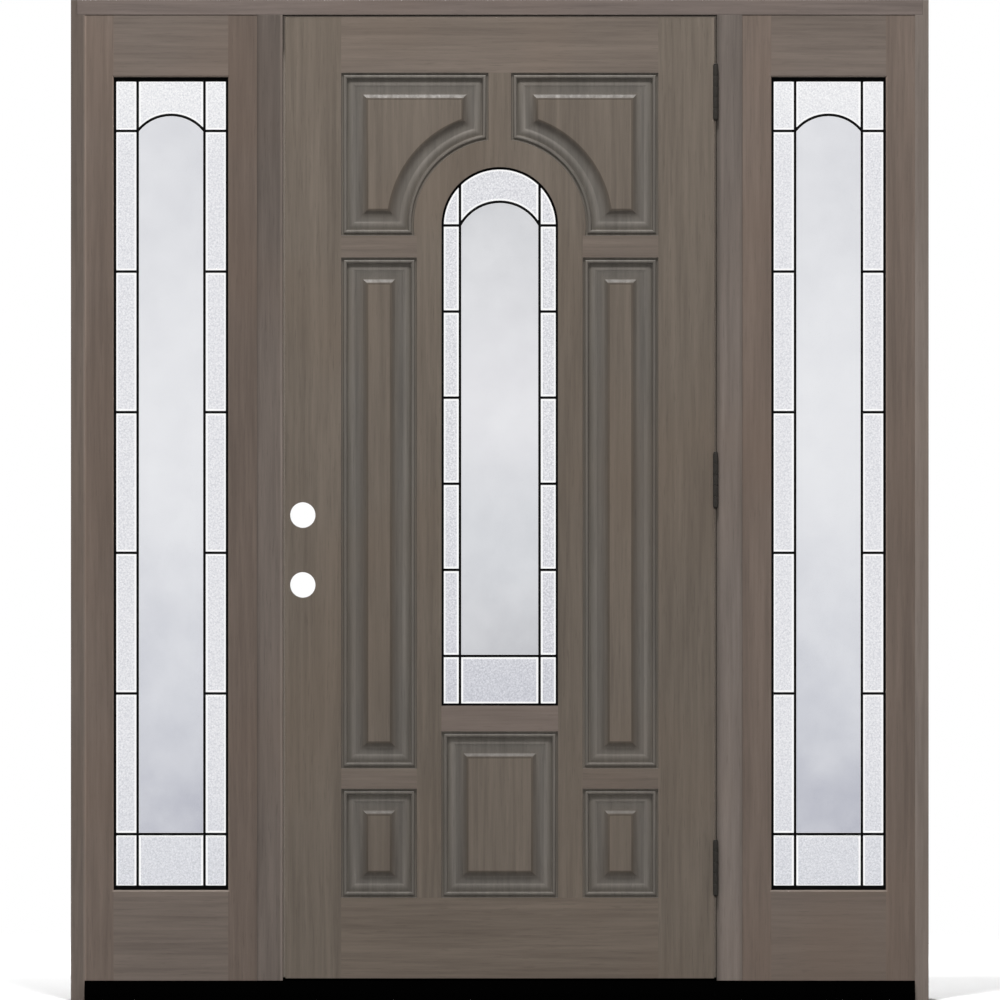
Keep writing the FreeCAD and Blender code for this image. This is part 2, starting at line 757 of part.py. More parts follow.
for name in ("stiles", "rails", "glazing_bead", "center_pane", "border_panes", "came"):
    label = f"sidelight_right_{name}"
    finish(mirror(nodes[f"sidelight_left_{name}"], label), label)

# Sill
# One black threshold from jamb to jamb, with a sloped nose and a raised bumper behind the leaf.

sill_body = document.addObject("PartDesign::Body", "sill_length")
bumper_top = sill_height + sill_bumper_rise
sill_section = polygon(sill_body, "sill_section", "YZ_Plane", 0, [
    (frame_front - sill_nose_reach, 0),
    (frame_front - sill_nose_reach, sill_nose_height),
    (frame_front, sill_height),
    (stop_front, sill_height),
    (stop_front, bumper_top),
    (stop_front + sill_bumper_depth, bumper_top),
    (frame_back, sill_inner_height),
    (frame_back, 0),
])
pad(sill_body, "sill_extrusion", sill_section, sidelight_outer * 2, True)

# Seal round the doorway: one soft strip, mitred at the corners, let into the stops and the sill bumper.
seal = document.addObject("PartDesign::Body", "doorway_seal")
seal_path = polygon(seal, "seal_path", "XZ_Plane", 0, [
    (-opening_edge, leaf_bottom),
    (-opening_edge, head_bottom),
    (opening_edge, head_bottom),
    (opening_edge, leaf_bottom),
])
seal_back = stop_front + seal_seat
seal_front = seal_back - seal_depth
seal_section = polygon(seal, "seal_section", "XY_Plane", (leaf_bottom + head_bottom) / 2, [
    (-opening_edge, seal_back),
    (-opening_edge, seal_front + seal_round),
    (seal_round - opening_edge, seal_front),
    (seal_width - seal_round - opening_edge, seal_front),
    (seal_width - opening_edge, seal_front + seal_round),
    (seal_width - opening_edge, seal_back),
])
document.recompute()
seal_strip = seal.newObject("PartDesign::AdditivePipe", "seal_strip")
seal_strip.Profile = seal_section
seal_strip.Spine = (seal_path, ["Edge1", "Edge2", "Edge3", "Edge4"])
seal_strip.Transition = "Right corner"
finish(seal, "doorway_seal")
side_sill_stops = [
    box("sill_stop_left", (-sidelight_outer, -sidelight_inner), (leaf_back, stop_front),
        (sill_height, bumper_top)),
    box("sill_stop_right", (sidelight_inner, sidelight_outer), (leaf_back, stop_front),
        (sill_height, bumper_top)),
]
finish(cut("sill", fuse("sill_whole", [sill_body] + side_sill_stops), [seal]), "sill")

# Head jamb, let into the side jambs, rabbeted in front for the leaf and the sidelights.
stop_bottom = head_bottom - stop_height
head_ends = sidelight_outer + head_housing
head_body = document.addObject("PartDesign::Body", "head_length")
head_section = polygon(head_body, "head_section", "YZ_Plane", 0, [
    (frame_front, head_bottom),
    (frame_front, head_top),
    (frame_back, head_top),
    (frame_back, stop_bottom),
    (leaf_back, stop_bottom),
    (leaf_back, head_bottom),
])
pad(head_body, "head_extrusion", head_section, head_ends * 2, True)
head_rabbet = box("head_rabbet", (-opening_edge, opening_edge), (leaf_back - OVERRUN, stop_front),
                  (stop_bottom - OVERRUN, head_bottom))
past_frame = (frame_front - OVERRUN, frame_back + OVERRUN)
below_head = (stop_bottom - OVERRUN, head_bottom)
head_shoulders = [
    box("head_shoulder_left", (-head_ends - OVERRUN, -sidelight_outer), past_frame, below_head),
    box("head_shoulder_right", (sidelight_outer, head_ends + OVERRUN), past_frame, below_head),
]
finish(cut("head_jamb", head_body, [head_rabbet, seal] + head_shoulders), "head_jamb")

# Side jambs, full height beside the sill and the ends of the head.
jamb_stop_edge = sidelight_outer - stop_height
jamb_body = document.addObject("PartDesign::Body", "jamb_length")
jamb_section = polygon(jamb_body, "jamb_section", "XY_Plane", 0, [
    (-frame_edge, frame_front),
    (-sidelight_outer, frame_front),
    (-sidelight_outer, leaf_back),
    (-jamb_stop_edge, leaf_back),
    (-jamb_stop_edge, frame_back),
    (-frame_edge, frame_back),
])
pad(jamb_body, "jamb_extrusion", jamb_section, head_top, False)
left_jamb = finish(cut("jamb_left", jamb_body, [nodes["head_jamb"], nodes["sill"]]), "jamb_left")
finish(mirror(left_jamb, "jamb_right"), "jamb_right")

# Posts between the doorway and the sidelights, scribed over the sill and under the head.
post_body = document.addObject("PartDesign::Body", "post_length")
post_section = polygon(post_body, "post_section", "XY_Plane", sill_height, [
    (-opening_edge, frame_front),
    (-opening_edge, stop_front),
    (stop_height - opening_edge, stop_front),
    (stop_height - opening_edge, frame_back),
    (-sidelight_inner - stop_height, frame_back),
    (-sidelight_inner - stop_height, leaf_back),
    (-sidelight_inner, leaf_back),
    (-sidelight_inner, frame_front),
])
pad(post_body, "post_extrusion", post_section, head_bottom - sill_height, False)
post_tools = [nodes["head_jamb"], nodes["sill"], seal]
finish(cut("mullion_left", post_body, post_tools), "mullion_left")
finish(cut("mullion_right", mirror(post_body, "post_twin"), post_tools + frame_mortises), "mullion_right")

# Hinges
# Each has a plate let into the leaf's edge and one let into the post, with five knuckles on one pin.

pin_x = leaf_edge + side_gap / 2
pin_y = leaf_front - pin_offset
KNUCKLES = 5
BARREL_SIDES = 10


def round_bar(name, radius, length, low):
    """A many-sided bar up the line of the pins."""
    bar = document.addObject("Part::Prism", name)
    bar.Polygon = BARREL_SIDES
    bind(bar, {
        "Circumradius": radius,
        "Height": length,
        "Placement.Base.x": pin_x,
        "Placement.Base.y": pin_y,
        "Placement.Base.z": low,
    })
    return bar


def hinge(name, middle):
    foot = middle - hinge_height / 2
    step = hinge_height / KNUCKLES
    frame_parts = [
        box(f"hinge_{name}_frame_plate", (opening_edge, opening_edge + hinge_plate),
            (frame_front, plate_back), (foot, foot + hinge_height)),
        round_bar(f"hinge_{name}_pin", pin_radius, hinge_height, foot),
    ]
    leaf_parts = [
        box(f"hinge_{name}_leaf_plate", (leaf_edge - hinge_plate, leaf_edge),
            (leaf_front, plate_back), (foot, foot + hinge_height)),
    ]
    for number in range(KNUCKLES):
        low = foot + step * number + knuckle_gap / 2
        length = step - knuckle_gap
        barrel = round_bar(f"hinge_{name}_knuckle_{number}", barrel_radius, length, low)
        if number % 2 == 0:
            tab = box(f"hinge_{name}_tab_{number}", (opening_edge, opening_edge + hinge_plate),
                      (pin_y, frame_front), (low, low + length))
            frame_parts += [barrel, tab]
        else:
            tab = box(f"hinge_{name}_tab_{number}", (leaf_edge - hinge_plate, leaf_edge),
                      (pin_y, leaf_front), (low, low + length))
            leaf_parts += [barrel, tab]
    frame_half = fuse(f"hinge_{name}_frame_half", frame_parts)
    pin_room = round_bar(f"hinge_{name}_pin_room", pin_radius + pin_clearance, hinge_height, foot)
    leaf_half = cut(f"hinge_{name}_leaf_half", fuse(f"hinge_{name}_leaf_parts", leaf_parts), [pin_room])
    return frame_half, leaf_half


hinge_pairs = [hinge(name, middle) for name, middle in hinge_heights.items()]
finish(gather("hinge_frame_halves", [pair[0] for pair in hinge_pairs]), "hinge_frame_halves")
finish(gather("hinge_leaf_halves", [pair[1] for pair in hinge_pairs]), "hinge_leaf_halves")

document.recompute()

# Every object must have computed, and every part must be whole, before the files are written.
for item in document.Objects:
    for state in ("Invalid", "Error"):
        if state in item.State:
            raise ValueError(f"{item.Label} did not compute")
os.makedirs("parts", exist_ok=True)
for label, part in nodes.items():
    if part.Shape.isNull() or not part.Shape.isValid() or not part.Shape.Solids:
        raise ValueError(f"{label} has no whole shape")
    part.Shape.exportStep(f"parts/{label}.step")
    print(label, len(part.Shape.Solids), round(part.Shape.Volume / 1000, 1))
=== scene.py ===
import math

import bmesh
import bpy
from mathutils import Matrix, Vector


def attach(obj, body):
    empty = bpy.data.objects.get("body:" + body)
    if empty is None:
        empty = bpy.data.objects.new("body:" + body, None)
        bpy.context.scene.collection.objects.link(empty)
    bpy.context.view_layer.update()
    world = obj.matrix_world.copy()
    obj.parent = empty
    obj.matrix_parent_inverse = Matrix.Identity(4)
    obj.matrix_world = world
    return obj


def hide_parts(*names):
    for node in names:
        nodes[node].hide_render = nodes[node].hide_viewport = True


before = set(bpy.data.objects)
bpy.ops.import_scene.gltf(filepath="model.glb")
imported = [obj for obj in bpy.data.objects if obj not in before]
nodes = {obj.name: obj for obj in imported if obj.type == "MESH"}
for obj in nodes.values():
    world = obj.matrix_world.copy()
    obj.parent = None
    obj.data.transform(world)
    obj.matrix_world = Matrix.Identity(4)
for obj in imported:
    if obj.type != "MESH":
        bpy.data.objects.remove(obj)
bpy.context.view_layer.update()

# Jambs, posts and head
# Solid fir boards planed to a rabbeted section, glued and screwed into one frame,
# then wiped with a grey-brown stain that lets the straight grain show.


def linear(hex_colour):
    """An sRGB hex value as a linear colour with full alpha."""
    parts = [int(hex_colour[i:i + 2], 16) / 255 for i in (1, 3, 5)]
    return tuple(c / 12.92 if c <= 0.04045 else ((c + 0.055) / 1.055) ** 2.4 for c in parts) + (1.0,)


def scaled(colour, factor):
    return tuple(c * factor for c in colour[:3]) + (1.0,)


def add_node(tree, kind, inputs, **settings):
    """Adds one shader node, with its settings, and sets or links its inputs."""
    node = tree.nodes.new(kind)
    for name, value in settings.items():
        setattr(node, name, value)
    for socket, value in inputs.items():
        if isinstance(value, bpy.types.NodeSocket):
            tree.links.new(value, node.inputs[socket])
        else:
            node.inputs[socket].default_value = value
    return node


def new_material(name):
    material = bpy.data.materials.new(name)
    material.use_nodes = True
    return material, material.node_tree, material.node_tree.nodes["Principled BSDF"]


# Figure of the wood in metres, across and along the grain: broad bands, fine streaks and short dark pores.
# The bands and streaks make the stain lighter or darker, and it turns warmer in large patches.
BAND = (0.05, 1.2)
STREAK = (0.008, 0.2)
PORE = (0.0026, 0.045)
PATCH = 0.45
BOARD_OFFSET = (1.0, 0.7, 1.3)
STAIN_SPREAD = 0.19
WARM_STAIN = (1.05, 0.97, 0.90)
PORE_TONE = 0.6
POLISH_SPREAD = 0.12
VARNISH_IOR = 1.48


def grain_scale(figure, along):
    across, length = figure
    widths = {"X": (length, across, across), "Z": (across, across, length)}[along]
    return tuple(1 / width for width in widths)


def stained_wood(name, along, face, shift, fades=(), shine=0.1, gloss=0.5, stain_and_shade_attribute=None):
    """Stained straight-grained fir under a thin satin varnish: the eye sees soft bands along the board,
    fine streaks, darker pores and hardly any gloss.
    Each fade is an axis, where it starts and ends, and how much lighter or darker the wood is painted at
    either place; here the fades paint shade and highlights.
    The stain-and-shade attribute is a colour attribute of the mesh that thins or thickens the stain and
    paints shade into hollows."""
    material, tree, shader = new_material(name)
    place = add_node(tree, "ShaderNodeTexCoord", {}).outputs["Object"]

    def figure(size, detail, warp):
        spread = add_node(tree, "ShaderNodeMapping", {
            "Vector": place,
            "Location": tuple(shift * part for part in BOARD_OFFSET),
            "Scale": grain_scale(size, along),
        }).outputs["Vector"]
        noise = add_node(tree, "ShaderNodeTexNoise", {
            "Vector": spread, "Scale": 1.0, "Detail": detail, "Roughness": 0.6, "Distortion": warp,
        })
        return noise.outputs["Fac"]

    band = figure(BAND, detail=2.0, warp=0.4)
    streak = figure(STREAK, detail=4.0, warp=0.3)
    pore = figure(PORE, detail=2.0, warp=0.0)
    patch = add_node(tree, "ShaderNodeTexNoise", {"Vector": place, "Scale": 1 / PATCH, "Detail": 2.0})
    colour = linear(face)
    tone = add_node(tree, "ShaderNodeMath", {0: band, 1: streak}, operation="ADD")
    stain = add_node(tree, "ShaderNodeMapRange", {
        "Value": tone.outputs[0], "From Min": 0.7, "From Max": 1.3, "To Min": 0.0, "To Max": 1.0,
    })
    body = add_node(tree, "ShaderNodeMix", {
        "Factor": stain.outputs[0],
        6: scaled(colour, 1 - STAIN_SPREAD),
        7: scaled(colour, 1 + STAIN_SPREAD),
    }, data_type="RGBA")
    warm = tuple(c * share for c, share in zip(colour[:3], WARM_STAIN)) + (1.0,)
    drift = add_node(tree, "ShaderNodeMapRange", {
        "Value": patch.outputs["Fac"], "From Min": 0.5, "From Max": 0.75, "To Min": 0.0, "To Max": 0.6,
    })
    toned = add_node(tree, "ShaderNodeMix", {
        "Factor": drift.outputs[0], 6: body.outputs[2], 7: warm,
    }, data_type="RGBA")
    speck = add_node(tree, "ShaderNodeMapRange", {
        "Value": pore, "From Min": 0.58, "From Max": 0.74, "To Min": 0.0, "To Max": 0.4,
    })
    flecked = add_node(tree, "ShaderNodeMix", {
        "Factor": speck.outputs[0], 6: toned.outputs[2], 7: scaled(colour, PORE_TONE),
    }, data_type="RGBA")
    layers = []
    for axis, start, end, start_tone, end_tone in fades:
        fade = add_node(tree, "ShaderNodeMapRange", {
            "Value": add_node(tree, "ShaderNodeSeparateXYZ", {0: place}).outputs[axis],
            "From Min": start, "From Max": end, "To Min": start_tone, "To Max": end_tone,
        }, interpolation_type="SMOOTHSTEP")
        layers.append(fade.outputs[0])
    if stain_and_shade_attribute:
        stain_and_shade_layer = add_node(tree, "ShaderNodeAttribute", {}, attribute_name=stain_and_shade_attribute)
        layers.append(stain_and_shade_layer.outputs["Color"])
    wood = flecked.outputs[2]
    for layer in layers:
        wood = add_node(tree, "ShaderNodeMix", {
            "Factor": 1.0, 6: wood, 7: layer,
        }, data_type="RGBA", blend_type="MULTIPLY").outputs[2]
    tree.links.new(wood, shader.inputs["Base Color"])
    polish = add_node(tree, "ShaderNodeMapRange", {
        "Value": streak, "From Min": 0.3, "From Max": 0.7,
        "To Min": gloss + POLISH_SPREAD, "To Max": gloss,
    })
    tree.links.new(polish.outputs[0], shader.inputs["Roughness"])
    relief = add_node(tree, "ShaderNodeMath", {0: streak, 1: speck.outputs[0]}, operation="SUBTRACT")
    bump = add_node(tree, "ShaderNodeBump", {
        "Height": relief.outputs[0], "Strength": 0.25, "Distance": 0.0005,
    })
    tree.links.new(bump.outputs["Normal"], shader.inputs["Normal"])
    shader.inputs["IOR"].default_value = VARNISH_IOR
    shader.inputs["Specular IOR Level"].default_value = shine
    return material


def dress(node_names, material):
    for node_name in node_names:
        mesh = nodes[node_name].data
        mesh.materials.clear()
        mesh.materials.append(material)


def ease_edges(node_names, width):
    """Rounds a board's arrises a little, as sanding before the stain does."""
    for node_name in node_names:
        board = nodes[node_name]
        weld = board.modifiers.new("weld", "WELD")
        weld.merge_threshold = 0.00002
        ease = board.modifiers.new("eased arris", "BEVEL")
        ease.width = width
        ease.segments = 2
        ease.limit_method = "ANGLE"
        ease.angle_limit = math.radians(40)


ARRIS = 0.0008
# Painted light on the uprights: painted shade deeper towards the head and along the joints by the
# sidelights, a painted shadow along the right post's edge by the hinges, and painted highlights on two
# inner arrises
SHADE_UNDER_HEAD = ("Z", 1.2, 1.85, 1.0, 0.78)
LEFT_JAMB_HIGHLIGHT = ("X", -0.8790, -0.8772, 1.0, 1.4)
LEFT_POST_JOINT_SHADE = ("X", -0.512, -0.505, 0.8, 1.0)
LEFT_POST_HIGHLIGHT = ("X", -0.4645, -0.4620, 1.0, 1.35)
RIGHT_POST_EDGE_SHADOW = ("X", 0.458, 0.470, 0.62, 1.0)
RIGHT_POST_JOINT_SHADE = ("X", 0.503, 0.512, 1.0, 0.78)
left_jamb_wood = stained_wood("stained fir, left jamb", "Z", "#6c625b", shift=3.1,
                              fades=[SHADE_UNDER_HEAD, LEFT_JAMB_HIGHLIGHT])
right_jamb_wood = stained_wood("stained fir, right jamb", "Z", "#7e746d", shift=7.7, fades=[SHADE_UNDER_HEAD])
left_post_wood = stained_wood("stained fir, left post", "Z", "#6a615b", shift=11.3,
                              fades=[SHADE_UNDER_HEAD, LEFT_POST_JOINT_SHADE, LEFT_POST_HIGHLIGHT])
right_post_wood = stained_wood("stained fir, right post", "Z", "#766d67", shift=17.9,
                               fades=[SHADE_UNDER_HEAD, RIGHT_POST_EDGE_SHADOW, RIGHT_POST_JOINT_SHADE])
head_wood = stained_wood("stained fir, head", "X", "#6d635e", shift=23.3)
dress(["jamb_left"], left_jamb_wood)
dress(["jamb_right"], right_jamb_wood)
dress(["mullion_left"], left_post_wood)
dress(["mullion_right"], right_post_wood)
dress(["head_jamb"], head_wood)
ease_edges(["jamb_left", "jamb_right", "mullion_left", "mullion_right", "head_jamb"], ARRIS)

# Sill
# One extruded aluminium threshold, powder-coated black all over, that reaches from jamb to jamb
# and is screwed up into their feet.
DARK_GRIT = 0.7
LIGHT_GRIT = 1.3


def matt_finish(name, face, grit, relief, roughness, shine):
    """A dull, finely gritty surface: the eye sees its colour with a faint speckle and next to no shine."""
    material, tree, shader = new_material(name)
    place = add_node(tree, "ShaderNodeTexCoord", {}).outputs["Object"]
    noise = add_node(tree, "ShaderNodeTexNoise", {"Vector": place, "Scale": 1 / grit, "Detail": 3.0})
    colour = linear(face)
    tone = add_node(tree, "ShaderNodeMix", {
        "Factor": noise.outputs["Fac"], 6: scaled(colour, DARK_GRIT), 7: scaled(colour, LIGHT_GRIT),
    }, data_type="RGBA")
    tree.links.new(tone.outputs[2], shader.inputs["Base Color"])
    bump = add_node(tree, "ShaderNodeBump", {
        "Height": noise.outputs["Fac"], "Strength": 0.3, "Distance": relief,
    })
    tree.links.new(bump.outputs["Normal"], shader.inputs["Normal"])
    shader.inputs["Roughness"].default_value = roughness
    shader.inputs["Specular IOR Level"].default_value = shine
    return material


sill_black = matt_finish("black powder-coated aluminium", "#020202",
                         grit=0.0016, relief=0.0002, roughness=0.8, shine=0.0)
dress(["sill"], sill_black)
ease_edges(["sill"], ARRIS)

# Seal
# One soft strip of pale foam, mitred at the corners and let into the stops and the sill bumper.
# It shows as the pale floor of the narrow gap round the leaf.
seal_foam = matt_finish("pale foam seal", "#cabeb1", grit=0.002, relief=0.0001, roughness=0.8, shine=0.0)
dress(["doorway_seal"], seal_foam)

# Sidelight frames
# Two fir stiles and two rails with a chamfer round the glass, and a bead that holds it from inside.
# The grain follows each board: upright in stiles, level in rails. The chamfer and bead are painted lighter
# round the glass as a painted highlight.
SIDES = ("left", "right")
OPENING_MIDDLE = (0.694, 0.0, 1.091)
OPENING_HALF = (0.121, 1.0, 0.858)
# Painted highlight: strips round the opening, each with its width and how much lighter the wood is painted
# in it
CHAMFER_HIGHLIGHT = [(0.003, 1.4)]
BEAD_HIGHLIGHT = [(0.0021, 1.25), (0.007, 1.12)]
STRIP_EDGE = 0.0001


def paint_highlight_round_glass(material, strips):
    """Paints a highlight in strips round the glass by lightening the wood, alike in both sidelights."""
    tree = material.node_tree
    base = tree.nodes["Principled BSDF"].inputs["Base Color"]
    wood = base.links[0].from_socket
    place = add_node(tree, "ShaderNodeTexCoord", {}).outputs["Object"]
    either_side = add_node(tree, "ShaderNodeVectorMath", {0: place}, operation="ABSOLUTE")
    from_middle = add_node(tree, "ShaderNodeVectorMath", {
        0: either_side.outputs[0], 1: OPENING_MIDDLE,
    }, operation="SUBTRACT")
    reach = add_node(tree, "ShaderNodeVectorMath", {0: from_middle.outputs[0]}, operation="ABSOLUTE")
    outside = add_node(tree, "ShaderNodeVectorMath", {
        0: reach.outputs[0], 1: OPENING_HALF,
    }, operation="SUBTRACT")
    ways = add_node(tree, "ShaderNodeSeparateXYZ", {0: outside.outputs[0]})
    distance = add_node(tree, "ShaderNodeMath", {
        0: ways.outputs["X"], 1: ways.outputs["Z"],
    }, operation="MAXIMUM")
    for width, tone in strips:
        strip = add_node(tree, "ShaderNodeMapRange", {
            "Value": distance.outputs[0], "From Min": width - STRIP_EDGE, "From Max": width + STRIP_EDGE,
            "To Min": tone, "To Max": 1.0,
        })
        wood = add_node(tree, "ShaderNodeMix", {
            "Factor": 1.0, 6: wood, 7: strip.outputs[0],
        }, data_type="RGBA", blend_type="MULTIPLY").outputs[2]
    tree.links.new(wood, base)
    return material


# Painted light on the left sidelight's stiles: a painted highlight on the outer arris by the jamb, and
# painted shade over the inner stile by the post
OUTER_STILE_HIGHLIGHT = ("X", -0.8735, -0.8715, 1.4, 1.0)
INNER_STILE_SHADE = ("X", -0.65, -0.60, 1.0, 0.85)
STILE_STAIN = "#6e625a"
STILE_SHIFT = 29.7
left_stile_wood = stained_wood("stained fir, left sidelight stiles", "Z", STILE_STAIN, STILE_SHIFT,
                               fades=[OUTER_STILE_HIGHLIGHT, INNER_STILE_SHADE])
right_stile_wood = stained_wood("stained fir, right sidelight stiles", "Z", STILE_STAIN, STILE_SHIFT)
side_rail_wood = stained_wood("stained fir, sidelight rails", "X", "#6e645d", shift=31.1)
side_bead_wood = stained_wood("stained fir, sidelight beads", "Z", STILE_STAIN, STILE_SHIFT)
dress(["sidelight_left_stiles"], paint_highlight_round_glass(left_stile_wood, CHAMFER_HIGHLIGHT))
dress(["sidelight_right_stiles"], paint_highlight_round_glass(right_stile_wood, CHAMFER_HIGHLIGHT))
dress([f"sidelight_{side}_rails" for side in SIDES], paint_highlight_round_glass(side_rail_wood, CHAMFER_HIGHLIGHT))
dress([f"sidelight_{side}_glazing_bead" for side in SIDES], paint_highlight_round_glass(side_bead_wood, BEAD_HIGHLIGHT))

# Sidelight glass
# A clear pane of float glass inside a border of rolled, granular panes, all with ground edges.
# Each pane sits in the grooves of the cames. A painted reflection makes the clear glass grey, bluish
# towards its foot, and the rolled glass greyer near its foot.
GLASS_IOR = 1.5
CLOUD = 0.10


def height_ramp(tree, place, low, high, stops):
    """A colour that changes with height; stops run from the foot up."""
    height = add_node(tree, "ShaderNodeSeparateXYZ", {0: place}).outputs["Z"]
    rise = add_node(tree, "ShaderNodeMapRange", {"Value": height, "From Min": low, "From Max": high})
    ramp = add_node(tree, "ShaderNodeValToRGB", {"Fac": rise.outputs[0]})
    ramp.color_ramp.interpolation = "EASE"
    for position, _ in stops[1:-1]:
        ramp.color_ramp.elements.new(position)
    for element, (position, colour) in zip(ramp.color_ramp.elements, stops):
        element.position = position
        element.color = linear(colour)
    return ramp.outputs["Color"]


def float_glass(name, low, high, stops):
    """Clear float glass: the eye sees the ground behind it through a faint cloud and a painted reflection,
    grey and changing with height.
    """
    material, tree, shader = new_material(name)
    place = add_node(tree, "ShaderNodeTexCoord", {}).outputs["Object"]
    painted_reflection = height_ramp(tree, place, low, high, stops)
    cloud = add_node(tree, "ShaderNodeTexNoise", {"Vector": place, "Scale": 1 / CLOUD, "Detail": 3.0})
    veil = add_node(tree, "ShaderNodeMapRange", {
        "Value": cloud.outputs["Fac"], "From Min": 0.3, "From Max": 0.7, "To Min": 0.0, "To Max": 0.26,
    })
    clouded = add_node(tree, "ShaderNodeMix", {
        "Factor": veil.outputs[0], 6: painted_reflection, 7: linear("#f6f7f9"),
    }, data_type="RGBA")
    tree.links.new(clouded.outputs[2], shader.inputs["Base Color"])
    shader.inputs["Roughness"].default_value = 0.04
    shader.inputs["IOR"].default_value = GLASS_IOR
    shader.inputs["Transmission Weight"].default_value = 1.0
    return material


# Figure of the rolled glass: grains a little coarser than the real ones, so that they show
GRAIN = 0.0042
FINE_GRAIN = GRAIN / 1.6


def textured_glass(name, dark, light, low, high, stops):
    """Rolled glass with a granular face, which breaks the view into pale grains, with a painted reflection
    that makes it greyer near the foot.
    """
    material, tree, shader = new_material(name)
    place = add_node(tree, "ShaderNodeTexCoord", {}).outputs["Object"]
    grains = add_node(tree, "ShaderNodeTexVoronoi", {"Vector": place, "Scale": 1 / GRAIN}, feature="F1")
    fine = add_node(tree, "ShaderNodeTexNoise", {"Vector": place, "Scale": 1 / FINE_GRAIN, "Detail": 3.0})
    both = add_node(tree, "ShaderNodeMath", {
        0: grains.outputs["Distance"], 1: fine.outputs["Fac"],
    }, operation="MULTIPLY")
    level = add_node(tree, "ShaderNodeMapRange", {
        "Value": both.outputs[0], "From Min": 0.08, "From Max": 0.4,
    })
    tone = add_node(tree, "ShaderNodeMix", {
        "Factor": level.outputs[0], 6: linear(light), 7: linear(dark),
    }, data_type="RGBA")
    painted_reflection_mix = add_node(tree, "ShaderNodeMix", {
        "Factor": 1.0, 6: tone.outputs[2], 7: height_ramp(tree, place, low, high, stops),
    }, data_type="RGBA", blend_type="MULTIPLY")
    tree.links.new(painted_reflection_mix.outputs[2], shader.inputs["Base Color"])
    bump = add_node(tree, "ShaderNodeBump", {
        "Height": both.outputs[0], "Strength": 0.4, "Distance": 0.0006,
    })
    tree.links.new(bump.outputs["Normal"], shader.inputs["Normal"])
    shader.inputs["Roughness"].default_value = 0.2
    shader.inputs["IOR"].default_value = GLASS_IOR
    shader.inputs["Transmission Weight"].default_value = 1.0
    return material


RIPPLE = 0.03


def polished_bevel():
    """The ground and polished edge of a pane: the eye sees a clear, bright line inside each came."""
    material, tree, shader = new_material("polished glass bevel")
    place = add_node(tree, "ShaderNodeTexCoord", {}).outputs["Object"]
    ripple = add_node(tree, "ShaderNodeTexNoise", {"Vector": place, "Scale": 1 / RIPPLE, "Detail": 1.0})
    tone = add_node(tree, "ShaderNodeMix", {
        "Factor": ripple.outputs["Fac"], 6: linear("#fafafb"), 7: linear("#ffffff"),
    }, data_type="RGBA")
    tree.links.new(tone.outputs[2], shader.inputs["Base Color"])
    shader.inputs["Roughness"].default_value = 0.03
    shader.inputs["IOR"].default_value = GLASS_IOR
    shader.inputs["Transmission Weight"].default_value = 1.0
    return material


BORDER_BEVEL = 0.0062
CLEAR_BEVEL = 0.0028
BEVEL_RISE = 0.0012
FLAT_FACE = 0.9
SHARP_CORNER = math.radians(60)
CORNER_ROOM = 0.020
HALF_PANE = 0.001
bevel_glass = polished_bevel()


def loosen_corners(shape):
    """Takes out the curve's points close to a sharp corner, where an even bevel would fold over."""
    crowded = set()
    for face in shape.faces:
        for loop in face.loops:
            if abs(face.normal.y) > FLAT_FACE and loop.calc_angle() < SHARP_CORNER:
                crowded |= {vert for vert in face.verts
                            if 0 < (vert.co - loop.vert.co).length < CORNER_ROOM}
    through = {edge for vert in crowded for edge in vert.link_edges
               if abs(edge.verts[0].co.y - edge.verts[1].co.y) > HALF_PANE}
    bmesh.ops.dissolve_edges(shape, edges=list(through), use_verts=True)


def bevelled_panes(node_name, body, width, face_glass):
    """The node's panes with a bevel ground round both faces of each."""
    shape = bmesh.new()
    shape.from_mesh(nodes[node_name].data)
    bmesh.ops.remove_doubles(shape, verts=shape.verts, dist=0.00001)
    bmesh.ops.dissolve_limit(shape, angle_limit=math.radians(1), verts=shape.verts, edges=shape.edges)
    loosen_corners(shape)
    for face in [face for face in shape.faces if abs(face.normal.y) > FLAT_FACE]:
        slopes = bmesh.ops.inset_region(shape, faces=[face], thickness=width, depth=BEVEL_RISE,
                                        use_even_offset=True, use_boundary=True)["faces"]
        for slope in slopes:
            slope.material_index = 1
    mesh = bpy.data.meshes.new(node_name + "_bevelled")
    shape.to_mesh(mesh)
    shape.free()
    mesh.materials.append(face_glass)
    mesh.materials.append(bevel_glass)
    piece = bpy.data.objects.new(node_name + "_bevelled", mesh)
    bpy.context.scene.collection.objects.link(piece)
    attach(piece, body)
    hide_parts(node_name)


side_clear = float_glass(
    "clear float glass, sidelights", low=0.35, high=1.87,
    stops=[(0.0, "#b0b2be"), (0.2, "#c9cbd3"), (0.55, "#e2e3e7"), (1.0, "#d7d8dd")])
side_textured = textured_glass(
    "granular rolled glass, sidelights", dark="#dfe0e4", light="#fafafb", low=0.25, high=1.92,
    stops=[(0.0, "#eaebef"), (0.2, "#f4f4f6"), (0.9, "#f5f5f7"), (1.0, "#ffffff")])
for side in SIDES:
    border = f"sidelight_{side}_border_panes"
    centre = f"sidelight_{side}_center_pane"
    bevelled_panes(border, "frame", BORDER_BEVEL, side_textured)
    bevelled_panes(centre, "frame", CLEAR_BEVEL, side_clear)

# Sidelight cames
# Flat zinc strips of H section, soldered where they cross and then blackened,
# with the panes in their grooves and the outer strips in the frame's rabbet.
came_black = matt_finish("blackened zinc came", "#0b0b0b",
                         grit=0.003, relief=0.0001, roughness=0.6, shine=0.02)
dress([f"sidelight_{side}_came" for side in SIDES], came_black)

